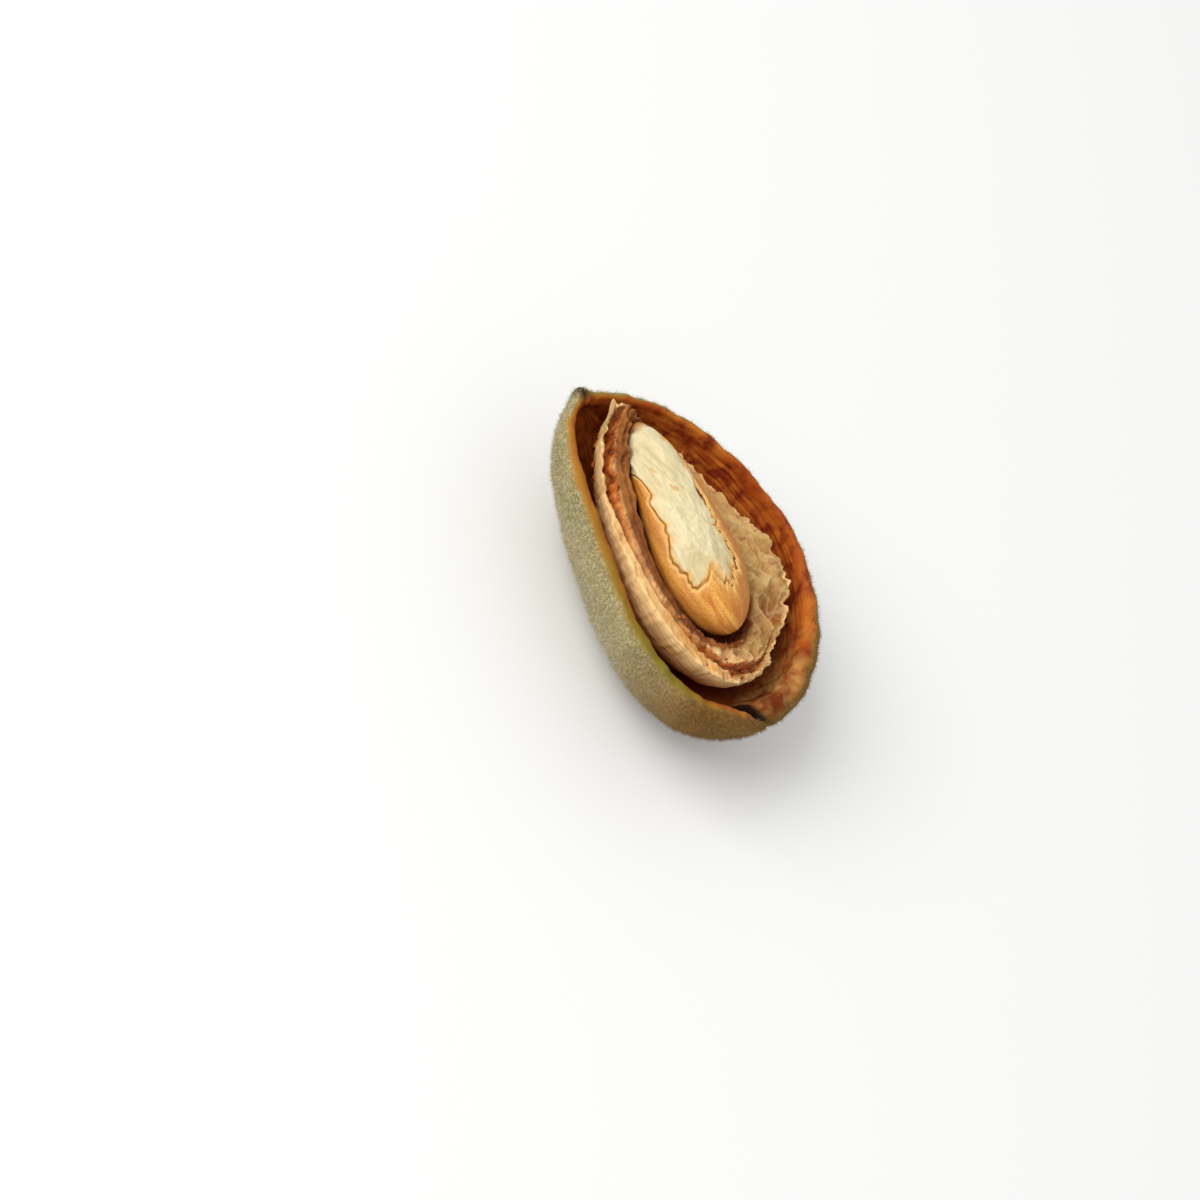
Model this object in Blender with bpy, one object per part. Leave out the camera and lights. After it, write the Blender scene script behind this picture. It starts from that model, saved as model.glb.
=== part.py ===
"""An almond in its open husk: half of the coat, lying on its back, with half a shell and the kernel in it.

Units are metres, +Z is up and +Y runs from the stem end to the pointed tip. The husk's split lies about
level, and the floor is the plane Z = 0, under the small flat on the husk's back.

Each piece is a sphere given a new form. The kernel is the sphere drawn out into an egg. The husk, the shell
and the skin are the sphere with its upper half pushed down into its lower half, like a cup, so that the
rings of the sphere become the outer wall, the rim and the inner wall.
"""

import bmesh
import bpy
import numpy as np

MM = 0.001

# Widths are given at six stations, evenly turned from the tip (first) to the stem end (last). Each is the
# radius that the outline would have if it were round there, so a small first value makes a keen tip.

# The husk's outline at the split, the thickness of its lip, its depth and its slight unevenness.
HUSK_TIP_REACH = 21.0 * MM
HUSK_BASE_REACH = 19.8 * MM
HUSK_LEFT_WIDTHS = np.array([9.0, 9.8, 10.5, 13.2, 15.9, 15.9]) * MM
HUSK_RIGHT_WIDTHS = np.array([9.0, 14.4, 15.6, 16.2, 15.9, 15.0]) * MM
HUSK_LEFT_LIP = np.array([2.0, 1.9, 2.0, 2.0, 2.2, 2.6]) * MM
HUSK_RIGHT_LIP = np.array([1.1, 1.0, 1.0, 1.1, 1.5, 2.2]) * MM
HUSK_TIP_LIP = 1.2 * MM
HUSK_BASE_LIP = 3.2 * MM
HUSK_DEPTH_TO_WIDTH = 0.94
HUSK_FLOOR_TO_WIDTH = 0.75
HUSK_LIP_CROWN = 0.35 * MM
HUSK_LIP_WAVE = 0.25 * MM
HUSK_LUMP = 0.2 * MM
HUSK_LUMP_RATES = (5.1, 6.3, 4.7)
HUSK_LUMP_STARTS = (1.0, 2.0, np.pi / 2)
FLAT_DEPTH = 0.4 * MM

# The dried beak at the husk's tip, and the stem end, where the coat tore: a worn dip in the lip and its
# cracks, each with its place, its half width in degrees round the lip and its depth.
BEAK_LENGTH = 0.8 * MM
BEAK_RISE = 0.5 * MM
BEAK_SPREAD = 5.0
TORN_PLACE = 183.0
TORN_SPREAD = 24.0
TORN_DIP = 1.5 * MM
TORN_RAG = 0.5 * MM
CRACKS = ((200.0, 3.2, 2.0 * MM), (170.0, 2.8, 1.2 * MM))

# How fast a change at a rim fades down the walls: the larger, the nearer it stays to the rim.
LIP_FADE = 8
BEAK_FADE = 24
SHELL_FADE = 2

# The shell's outline and depth. It is turned in the husk, tip to the right.
SHELL_CENTRE = np.array([0.45, 0.2, 0.0]) * MM
SHELL_TURN = 8.0
SHELL_TIP_REACH = 18.0 * MM
SHELL_BASE_REACH = 15.0 * MM
SHELL_LEFT_WIDTHS = np.array([6.4, 7.8, 8.6, 9.6, 10.5, 12.1]) * MM
SHELL_RIGHT_WIDTHS = np.array([6.0, 8.7, 10.6, 13.0, 13.2, 12.4]) * MM
SHELL_DEPTH_TO_WIDTH = 0.81

# The shell's broken edge, every 30 degrees clockwise from the tip: heights of its outer and inner ridge
# over the husk's split, depth of the spongy channel between them, and how ragged it is.
SHELL_OUTER_EDGE = np.array([1.3, -0.9, -1.5, -0.6, -0.5, -0.5, 0.3, 1.3, 1.8, 1.2, 0.3, 0.8]) * MM
SHELL_INNER_EDGE = np.array([0.6, -1.1, -1.7, -1.4, -1.4, -1.1, -0.5, 0.6, 1.1, 0.9, 0.3, 0.6]) * MM
SHELL_CHANNEL = np.array([0.5, 0.0, 0.0, 0.2, 0.3, 0.5, 1.1, 1.1, 1.1, 1.3, 1.4, 1.3]) * MM
SHELL_RAG = np.array([0.6, 0.45, 0.4, 0.5, 0.45, 0.5, 0.35, 0.2, 0.15, 0.3, 0.4, 0.5]) * MM

# Across the rim, as shares of its width: each ridge, the channel's walls and their slope. The channel's
# floor is less ragged than the ridges, and its teeth lean round the rim by this angle in radians.
RIDGE = 0.3
CHANNEL_WALL = 0.1
CHANNEL_SLOPE = 0.2
CHANNEL_RAG = 0.6
CHANNEL_LEAN = 2.0

# Each ragged line: its seed, and the fewest and the most waves round the loop.
LIP_WAVES = (4, 2, 5)
TORN_WAVES = (7, 14, 34)
OUTER_RIDGE_WAVES = (21, 9, 40)
INNER_RIDGE_WAVES = (22, 9, 40)
CHANNEL_WAVES = (23, 12, 30)

# The hollow of the shell.
HOLLOW_CENTRE = np.array([1.6, 2.9, 0.0]) * MM
HOLLOW_TURN = 11.7
HOLLOW_TIP_REACH = 13.75 * MM
HOLLOW_BASE_REACH = 13.35 * MM
HOLLOW_LEFT_WIDTHS = np.array([5.6, 6.1, 6.6, 7.8, 8.5, 8.9]) * MM
HOLLOW_RIGHT_WIDTHS = np.array([5.6, 5.7, 5.8, 7.1, 8.3, 8.9]) * MM
HOLLOW_DEPTH_TO_WIDTH = 0.7

# The kernel with its skin.
KERNEL_CENTRE = np.array([2.15, 2.65, -0.1]) * MM
KERNEL_TURN = 12.0
KERNEL_TIP_REACH = 13.1 * MM
KERNEL_BASE_REACH = 11.9 * MM
KERNEL_WIDTHS = np.array([3.4, 4.2, 4.4, 5.5, 6.1, 6.4]) * MM
KERNEL_THICKNESS_TO_WIDTH = 0.68

# The skin's thickness, the gap under it, and the edge of the place where it is peeled: degrees down from
# the kernel's crown, every 15 degrees clockwise from the tip.
SKIN_THICKNESS = 0.3 * MM
SKIN_GAP = 0.42 * MM
PEELED_TO = np.array(
    [84, 68, 54, 48, 40, 33, 27, 24, 28, 38, 34, 36, 33, 35, 37, 50, 60, 68, 62, 72, 67, 96, 98, 92]
)

# The share of a cup's rings at which its outer wall ends and its inner wall starts.
HUSK_ZONES = (0.42, 0.58)
SHELL_ZONES = (0.36, 0.64)
SKIN_ZONES = (0.48, 0.56)

# How finely each piece is divided: round it, and from its lowest point to its highest.
HUSK_DIVISIONS = (96, 34)
SHELL_DIVISIONS = (96, 38)
KERNEL_DIVISIONS = (40, 20)
SKIN_DIVISIONS = (48, 22)

# Colour in linear light, and roughness.
HUSK_LOOK = ((0.40, 0.37, 0.21), 0.9)
SHELL_LOOK = ((0.58, 0.34, 0.14), 0.75)
KERNEL_LOOK = ((0.85, 0.77, 0.55), 0.5)
SKIN_LOOK = ((0.63, 0.33, 0.09), 0.65)


def curve_of(a, b, c, d, part):
    """The smooth curve from b to c, with a and d the values before and after them."""
    bend = 2 * a - 5 * b + 4 * c - d
    twist = 3 * (b - c) + d - a
    return b + 0.5 * part * (c - a + part * (bend + part * twist))


def through(values, share):
    """The smooth curve through evenly spaced values, at a share of its length from 0 to 1."""
    place = share * (len(values) - 1)
    first = np.minimum(place.astype(int), len(values) - 2)
    before = 2 * values[0] - values[1]
    after = 2 * values[-1] - values[-2]
    padded = np.concatenate([[before], values, [after]])
    return curve_of(*(padded[first + step] for step in range(4)), place - first)


def through_loop(values, around):
    """The smooth closed curve through values evenly spaced round a loop, at angles in radians."""
    place = around / (2 * np.pi) % 1.0 * len(values)
    first = np.floor(place).astype(int)
    neighbours = (values[(first + step) % len(values)] for step in (-1, 0, 1, 2))
    return curve_of(*neighbours, place - first)


def ragged(around, seed, fewest, most):
    """An uneven closed line, about -1 to 1, of waves from the fewest to the most round the loop."""
    random = np.random.default_rng(seed)
    counts = np.arange(fewest, most + 1)
    starts = random.uniform(0.0, 2 * np.pi, len(counts))
    waves = np.sin(np.multiply.outer(around, counts) + starts)
    return waves.sum(axis=-1) / np.sqrt(2 * len(counts))


def bell(around, degrees, spread):
    """A bump of height 1 at a place round the loop, where spread is its half width in degrees."""
    apart = (np.degrees(around) - degrees + 180.0) % 360.0 - 180.0
    return np.exp(-((apart / spread) ** 2))


def direction(around, dip):
    """Unit vectors that point clockwise from the tip by around, and below the level by dip."""
    level = np.cos(dip)
    return np.stack([np.sin(around) * level, np.cos(around) * level, -np.sin(dip)], axis=-1)


def egg(towards, left_widths, right_widths, tip_reach, base_reach, depth_to_width, inset=0.0):
    """The points of an egg, pointed at +Y, in the given directions, with its surface moved in by inset."""
    x, y, z = towards.T
    from_tip = np.arccos(np.clip(y, -1.0, 1.0)) / np.pi
    beside = np.maximum(np.hypot(x, z), 1e-9)
    left = through(left_widths, from_tip)
    right = through(right_widths, from_tip)
    width = 0.5 * (right + left + (right - left) * x / beside)
    reach = 0.5 * (tip_reach + base_reach + (tip_reach - base_reach) * y)
    sizes = [width - inset, reach - inset, width * depth_to_width - inset]
    return towards * np.stack(sizes, axis=-1)


def placed(points, centre, turn):
    """Points turned clockwise, seen from above, by degrees, and moved to the centre."""
    cosine = np.cos(np.radians(turn))
    sine = np.sin(np.radians(turn))
    x, y, z = points.T
    return np.stack([cosine * x + sine * y, cosine * y - sine * x, z], axis=-1) + centre


def cup_walls(share, zones, edge_dip):
    """How far each ring of a cup dips on the outer and the inner wall, and how far it is across the rim."""
    outer_end, inner_start = zones
    down_outside = np.clip(1.0 - share / outer_end, 0.0, 1.0)
    down_inside = np.clip((share - inner_start) / (1.0 - inner_start), 0.0, 1.0)
    across = np.clip((share - outer_end) / (inner_start - outer_end), 0.0, 1.0)
    outer_dip = edge_dip + (np.pi / 2 - edge_dip) * down_outside
    inner_dip = edge_dip + (np.pi / 2 - edge_dip) * down_inside
    return outer_dip, inner_dip, across


def between(outside, inside, across):
    return outside + (inside - outside) * across[:, None]


def husk_surface(around, share):
    """The husk: an outer wall with low lumps, a rounded lip, torn at the stem end, and a smooth hollow."""
    outer_dip, inner_dip, across = cup_walls(share, HUSK_ZONES, 0.0)
    widths = (HUSK_LEFT_WIDTHS, HUSK_RIGHT_WIDTHS, HUSK_TIP_REACH, HUSK_BASE_REACH)
    outwards = direction(around, outer_dip)
    outside = egg(outwards, *widths, HUSK_DEPTH_TO_WIDTH)
    lumps = np.sin(outwards * HUSK_LUMP_RATES + HUSK_LUMP_STARTS).prod(axis=1)
    outside += outwards * (HUSK_LUMP * lumps)[:, None]
    inside = egg(
        direction(around, inner_dip),
        HUSK_LEFT_WIDTHS - HUSK_LEFT_LIP,
        HUSK_RIGHT_WIDTHS - HUSK_RIGHT_LIP,
        HUSK_TIP_REACH - HUSK_TIP_LIP,
        HUSK_BASE_REACH - HUSK_BASE_LIP,
        HUSK_FLOOR_TO_WIDTH,
    )
    points = between(outside, inside, across)

    torn = bell(around, TORN_PLACE, TORN_SPREAD)
    edge = HUSK_LIP_WAVE * ragged(around, *LIP_WAVES) - TORN_DIP * torn
    edge += TORN_RAG * torn * ragged(around, *TORN_WAVES)
    for degrees, spread, depth in CRACKS:
        edge -= depth * bell(around, degrees, spread)
    near_lip = np.cos(np.maximum(outer_dip, inner_dip)) ** LIP_FADE
    points[:, 2] += edge * near_lip + HUSK_LIP_CROWN * 4 * across * (1 - across)

    beak = bell(around, 0.0, BEAK_SPREAD) * np.cos(outer_dip) ** BEAK_FADE * (1 - across)
    points[:, 1] += BEAK_LENGTH * beak
    points[:, 2] += BEAK_RISE * beak
    return points


def shell_surface(around, share):
    """The half shell: a plain back, a broken rim with a channel between two ridges, and a smooth hollow."""
    outer_dip, inner_dip, across = cup_walls(share, SHELL_ZONES, 0.0)
    outside = egg(
        direction(around, outer_dip),
        SHELL_LEFT_WIDTHS,
        SHELL_RIGHT_WIDTHS,
        SHELL_TIP_REACH,
        SHELL_BASE_REACH,
        SHELL_DEPTH_TO_WIDTH,
    )
    outside = placed(outside, SHELL_CENTRE, SHELL_TURN)
    inside = egg(
        direction(around, inner_dip),
        HOLLOW_LEFT_WIDTHS,
        HOLLOW_RIGHT_WIDTHS,
        HOLLOW_TIP_REACH,
        HOLLOW_BASE_REACH,
        HOLLOW_DEPTH_TO_WIDTH,
    )
    inside = placed(inside, HOLLOW_CENTRE, HOLLOW_TURN)
    points = between(outside, inside, across)

    outer_ridge = np.clip(1.0 - across / RIDGE, 0.0, 1.0)
    inner_ridge = np.clip(1.0 - (1.0 - across) / RIDGE, 0.0, 1.0)
    from_edge = np.minimum(across, 1.0 - across)
    channel = np.clip((from_edge - CHANNEL_WALL) / CHANNEL_SLOPE, 0.0, 1.0)
    rag = through_loop(SHELL_RAG, around)
    edge = through_loop(SHELL_OUTER_EDGE, around) * (1 - across)
    edge += through_loop(SHELL_INNER_EDGE, around) * across
    edge += rag * ragged(around, *OUTER_RIDGE_WAVES) * outer_ridge
    edge += rag * ragged(around, *INNER_RIDGE_WAVES) * inner_ridge
    edge += CHANNEL_RAG * rag * ragged(around + CHANNEL_LEAN * across, *CHANNEL_WAVES) * channel
    edge -= through_loop(SHELL_CHANNEL, around) * channel
    near_rim = np.cos(np.maximum(outer_dip, inner_dip)) ** SHELL_FADE
    points[:, 2] += edge * near_rim
    return points


def kernel_body(towards, inset):
    body = egg(
        towards,
        KERNEL_WIDTHS,
        KERNEL_WIDTHS,
        KERNEL_TIP_REACH,
        KERNEL_BASE_REACH,
        KERNEL_THICKNESS_TO_WIDTH,
        inset,
    )
    return placed(body, KERNEL_CENTRE, KERNEL_TURN)


def kernel_surface(around, share):
    """The kernel's pale flesh: the kernel's egg, less the skin and the gap under it."""
    dip = np.pi * (0.5 - share)
    return kernel_body(direction(around, dip), SKIN_THICKNESS + SKIN_GAP)


def skin_surface(around, share):
    """The kernel's skin: a thin cup with a ragged edge, peeled off the kernel's crown."""
    edge_dip = np.radians(through_loop(PEELED_TO, around) - 90.0)
    outer_dip, inner_dip, across = cup_walls(share, SKIN_ZONES, edge_dip)
    outside = kernel_body(direction(around, outer_dip), 0.0)
    inside = kernel_body(direction(around, inner_dip), SKIN_THICKNESS)
    return between(outside, inside, across)


def material(name, colour, roughness):
    made = bpy.data.materials.new(name)
    made.use_nodes = True
    surface = made.node_tree.nodes["Principled BSDF"]
    surface.inputs["Base Color"].default_value = (*colour, 1.0)
    surface.inputs["Roughness"].default_value = roughness
    surface.inputs["Metallic"].default_value = 0.0
    return made


def shaped_sphere(segments, rings, surface):
    """A sphere with each point moved to the surface, by its angle around and its share of the rings."""
    form = bmesh.new()
    bmesh.ops.create_uvsphere(form, u_segments=segments, v_segments=rings, radius=1.0)
    unit = np.array([vertex.co for vertex in form.verts])
    around = np.arctan2(unit[:, 0], unit[:, 1])
    share = np.arcsin(np.clip(unit[:, 2], -1.0, 1.0)) / np.pi + 0.5
    for vertex, point in zip(form.verts, surface(around, share)):
        vertex.co = point
    return form


def flatten_below(form, height):
    """Cuts off what is below the height and closes the cut with one flat face."""
    everything = form.verts[:] + form.edges[:] + form.faces[:]
    bmesh.ops.bisect_plane(
        form, geom=everything, plane_co=(0, 0, height), plane_no=(0, 0, 1), clear_inner=True
    )
    open_edges = [edge for edge in form.edges if edge.is_boundary]
    bmesh.ops.holes_fill(form, edges=open_edges, sides=0)


def add_node(name, form, colour, roughness):
    mesh = bpy.data.meshes.new(name)
    form.to_mesh(mesh)
    form.free()
    mesh.shade_smooth()
    mesh.materials.append(material(name, colour, roughness))
    node = bpy.data.objects.new(name, mesh)
    bpy.context.scene.collection.objects.link(node)
    return node


for old in list(bpy.data.objects):
    bpy.data.objects.remove(old, do_unlink=True)

husk_form = shaped_sphere(*HUSK_DIVISIONS, husk_surface)
husk_points = np.array([vertex.co for vertex in husk_form.verts])
husk_low = husk_points.min(axis=0)
husk_high = husk_points.max(axis=0)
floor_height = husk_low[2] + FLAT_DEPTH
flatten_below(husk_form, floor_height)

nodes = [
    add_node("husk", husk_form, *HUSK_LOOK),
    add_node("shell", shaped_sphere(*SHELL_DIVISIONS, shell_surface), *SHELL_LOOK),
    add_node("kernel", shaped_sphere(*KERNEL_DIVISIONS, kernel_surface), *KERNEL_LOOK),
    add_node("kernel_skin", shaped_sphere(*SKIN_DIVISIONS, skin_surface), *SKIN_LOOK),
]

# The husk's outline is centred on the origin and its flat stands on the floor.
middle = 0.5 * (husk_low + husk_high)
for node in nodes:
    node.location = (-middle[0], -middle[1], -floor_height)
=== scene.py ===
"""An almond in its open husk, dressed for the camera: half of the coat with half a shell and the kernel in it.

Units are metres, +Z is up, +Y runs from the stem end to the tip, and the floor is Z = 0.
"""

import bmesh
import bpy
import numpy as np
from mathutils import Matrix, Vector, noise


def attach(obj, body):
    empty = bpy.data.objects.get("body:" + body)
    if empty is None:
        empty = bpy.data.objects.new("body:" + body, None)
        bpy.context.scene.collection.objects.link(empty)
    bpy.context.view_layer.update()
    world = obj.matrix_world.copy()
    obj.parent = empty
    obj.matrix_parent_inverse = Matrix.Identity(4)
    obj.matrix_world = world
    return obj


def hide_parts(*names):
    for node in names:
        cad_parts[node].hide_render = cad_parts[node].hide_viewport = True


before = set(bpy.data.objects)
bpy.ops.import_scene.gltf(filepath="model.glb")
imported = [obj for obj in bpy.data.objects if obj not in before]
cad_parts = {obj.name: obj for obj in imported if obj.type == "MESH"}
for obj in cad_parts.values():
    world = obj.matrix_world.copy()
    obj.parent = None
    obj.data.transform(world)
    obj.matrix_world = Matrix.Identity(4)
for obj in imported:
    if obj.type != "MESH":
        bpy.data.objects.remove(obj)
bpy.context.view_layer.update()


# The husk: the fruit's leathery coat, one grown body that split along its seam. It is velvety outside, its
# cut lip shows pale flesh, its inside is lined with red-brown fibres, and the stem end tore off in shreds.

MM = 0.001
SPLIT_MIDDLE = np.array([-1.702, -0.994, 12.966]) * MM
HUSK_REACH = (21.0 * MM, 19.8 * MM)
HUSK_LEFT_WIDTHS = np.array([9.0, 9.8, 10.5, 13.2, 15.9, 15.9]) * MM
HUSK_RIGHT_WIDTHS = np.array([9.0, 14.4, 15.6, 16.2, 15.9, 15.0]) * MM
HUSK_DEPTH_TO_WIDTH = 0.94
HUSK_LEFT_LIP = np.array([2.0, 1.9, 2.0, 2.0, 2.2, 2.6]) * MM
HUSK_RIGHT_LIP = np.array([1.1, 1.0, 1.0, 1.1, 1.5, 2.2]) * MM
HUSK_FLOOR_REACH = (19.8 * MM, 16.6 * MM)
HUSK_FLOOR_TO_WIDTH = 0.75
HUSK_ZONES = (0.40, 0.56)
HUSK_DIVISIONS = (130, 46)

LIP_CROWN = 0.35 * MM
LIP_ROUNDING = 0.6 * MM
LIP_WAVE = 0.25 * MM
COAT_LUMPS = ((0.2 * MM, 4.0 * MM), (0.10 * MM, 1.6 * MM), (0.035 * MM, 0.5 * MM))
LINING_FIBRES = ((0.10 * MM, 1.1 * MM), (0.08 * MM, 0.4 * MM))
LINING_PIT = 0.35 * MM
BEAK_LENGTH = 0.8 * MM
BEAK_RISE = 0.5 * MM
TORN_DIP = 1.5 * MM
TORN_SHREDS = 0.3 * MM
CRACKS = ((196.0, 14.0, 1.5, 3.4 * MM), (166.0, -6.0, 2.0, 0.6 * MM))
CRACK_GAPE = 3.5
HUSK_DEPTH = 14.5 * MM

# Round the lip from the tip, every 30 degrees: how far across it the velvet wraps, and where the lining
# starts and is full.
HUSK_WRAP = [0.4, 0.45, 0.45, 0.45, 0.45, 0.5, 0.35, 0.62, 0.3, 0.22, 0.2, 0.22]
HUSK_LINING = (
    [0.5, 0.35, 0.3, 0.25, 0.2, 0.3, 0.4, 0.5, 0.6, 0.4, 0.35, 0.35],
    [0.9, 0.65, 0.6, 0.55, 0.5, 0.7, 0.9, 1.0, 1.15, 1.05, 1.0, 1.0],
)


def curve_of(a, b, c, d, part):
    """The smooth curve from b to c, with a and d the values before and after them."""
    bend = 2 * a - 5 * b + 4 * c - d
    twist = 3 * (b - c) + d - a
    return b + 0.5 * part * (c - a + part * (bend + part * twist))


def through(values, share):
    """The smooth curve through evenly spaced values, at a share of its length from 0 to 1."""
    place = share * (len(values) - 1)
    first = np.minimum(place.astype(int), len(values) - 2)
    padded = np.concatenate([[2 * values[0] - values[1]], values, [2 * values[-1] - values[-2]]])
    return curve_of(*(padded[first + step] for step in range(4)), place - first)


def through_loop(values, around):
    """The smooth closed curve through values evenly spaced round a rim, clockwise from the tip."""
    values = np.asarray(values)
    place = around / (2 * np.pi) % 1.0 * len(values)
    first = np.floor(place).astype(int)
    neighbours = (values[(first + step) % len(values)] for step in (-1, 0, 1, 2))
    return curve_of(*neighbours, place - first)


def ragged(around, seed, fewest, most):
    """An uneven closed line, about -1 to 1, of waves from the fewest to the most round the rim."""
    random = np.random.default_rng(seed)
    counts = np.arange(fewest, most + 1)
    starts = random.uniform(0.0, 2 * np.pi, len(counts))
    total = sum(np.sin(count * around + start) for count, start in zip(counts, starts))
    return total / np.sqrt(2 * len(counts))


def bell(around, degrees, spread):
    """A bump of height 1 at a place round the rim, where spread is its half width in degrees."""
    apart = (np.degrees(around) - degrees + 180.0) % 360.0 - 180.0
    return np.exp(-((apart / spread) ** 2))


def rise(value, start, end):
    """Smoothly 0 to 1 as the value goes from start to end."""
    part = np.clip((value - start) / (end - start), 0.0, 1.0)
    return part * part * (3 - 2 * part)


def uneven(points, size, octaves=3):
    """Natural unevenness, about -1 to 1, with lumps of this size."""
    return np.array([noise.fractal(point, 1.0, 2.0, octaves) for point in (points / size).tolist()])


def direction(around, dip):
    """Unit vectors that point clockwise from the tip by around, and below the level by dip."""
    level = np.cos(dip)
    return np.stack([np.sin(around) * level, np.cos(around) * level, -np.sin(dip)], axis=-1)


def egg(towards, left_widths, right_widths, reach, depth_to_width, inset=0.0):
    """The points of an egg, pointed at +Y, in the given directions, with its surface moved in by inset."""
    x, y, z = towards.T
    from_tip = np.arccos(np.clip(y, -1.0, 1.0)) / np.pi
    beside = np.maximum(np.hypot(x, z), 1e-9)
    left = through(left_widths, from_tip)
    right = through(right_widths, from_tip)
    width = 0.5 * (right + left + (right - left) * x / beside)
    length = 0.5 * (reach[0] + reach[1] + (reach[0] - reach[1]) * y)
    sizes = [width - inset, length - inset, width * depth_to_width - inset]
    return towards * np.stack(sizes, axis=-1)


def cup_walls(share, zones, edge_dip):
    """How far each ring of a cup dips on its outer and inner wall, and how far it is across the rim."""
    outer_end, inner_start = zones
    down_outside = np.clip(1.0 - share / outer_end, 0.0, 1.0)
    down_inside = np.clip((share - inner_start) / (1.0 - inner_start), 0.0, 1.0)
    across = np.clip((share - outer_end) / (inner_start - outer_end), 0.0, 1.0)
    outer_dip = edge_dip + (np.pi / 2 - edge_dip) * down_outside
    inner_dip = edge_dip + (np.pi / 2 - edge_dip) * down_inside
    return outer_dip, inner_dip, across


def between(outside, inside, across):
    """Points or directions part of the way from the outer wall's to the inner wall's."""
    return outside + (inside - outside) * across[:, None]


def along_fibres(points, girth, stretch):
    """Places measured by the fibres, which run from stem end to tip: finely round the body, drawn out along it."""
    x, y, z = points.T
    return np.stack([np.arctan2(x, -z) * girth, y / stretch, np.hypot(x, z) / stretch], axis=-1)


def facing(outwards, inwards, across):
    """Which way a cup's surface faces: out on its outer wall, up on the rim and in on its inner wall."""
    way = between(outwards, -inwards, across)
    way[:, 2] += 4 * across * (1 - across)
    return way / np.maximum(np.linalg.norm(way, axis=1), 1e-9)[:, None]


def shaped_sphere(divisions, surface):
    """A sphere with each point moved to the surface, and the marks that the surface leaves on its points."""
    form = bmesh.new()
    bmesh.ops.create_uvsphere(form, u_segments=divisions[0], v_segments=divisions[1], radius=1.0)
    bmesh.ops.subdivide_edges(form, edges=form.edges[:], cuts=3, use_grid_fill=True)
    unit = np.array([vertex.co for vertex in form.verts])
    unit /= np.linalg.norm(unit, axis=1)[:, None]
    around = np.arctan2(unit[:, 0], unit[:, 1])
    share = np.arcsin(np.clip(unit[:, 2], -1.0, 1.0)) / np.pi + 0.5
    points, marks = surface(around, share)
    for vertex, point in zip(form.verts, points + SPLIT_MIDDLE):
        vertex.co = point
    return form, marks


def add_piece(name, form, marks, material):
    """Makes a piece of the almond from a form. Each mark becomes an attribute that its material reads."""
    mesh = bpy.data.meshes.new(name)
    form.to_mesh(mesh)
    form.free()
    mesh.shade_smooth()
    mesh.materials.append(material)
    for mark, values in marks.items():
        kind, field = ("FLOAT", "value") if values.ndim == 1 else ("FLOAT_VECTOR", "vector")
        attribute = mesh.attributes.new(mark, kind, "POINT")
        attribute.data.foreach_set(field, values.astype(np.float32).ravel())
    piece = bpy.data.objects.new(name, mesh)
    bpy.context.scene.collection.objects.link(piece)
    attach(piece, "root")
    return piece


def on_rim(around, across, long, wide):
    """Places on a rim unrolled flat: along it and across it, with the pattern drawn out along it."""
    return np.stack([np.sin(around) * 11 * MM / long, np.cos(around) * 11 * MM / long, across * wide], axis=-1)


def broken_edge(around, across):
    """How deep the husk's cracks are round its rim, and how far its edge lies below the level, as a dip."""
    crack = np.zeros_like(across)
    for degrees, lean, spread, depth in CRACKS:
        wander = 1.2 * uneven(on_rim(around, across, 1, 2 * MM), 0.9 * MM, 2)
        line = np.degrees(around) + lean * (1 - across) + wander
        gape = spread + CRACK_GAPE * across
        crack = np.maximum(crack, depth * bell(np.radians(line), degrees, gape))
    return crack, np.arcsin((crack + TORN_DIP * bell(around, 183.0, 24.0)) / HUSK_DEPTH)


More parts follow.
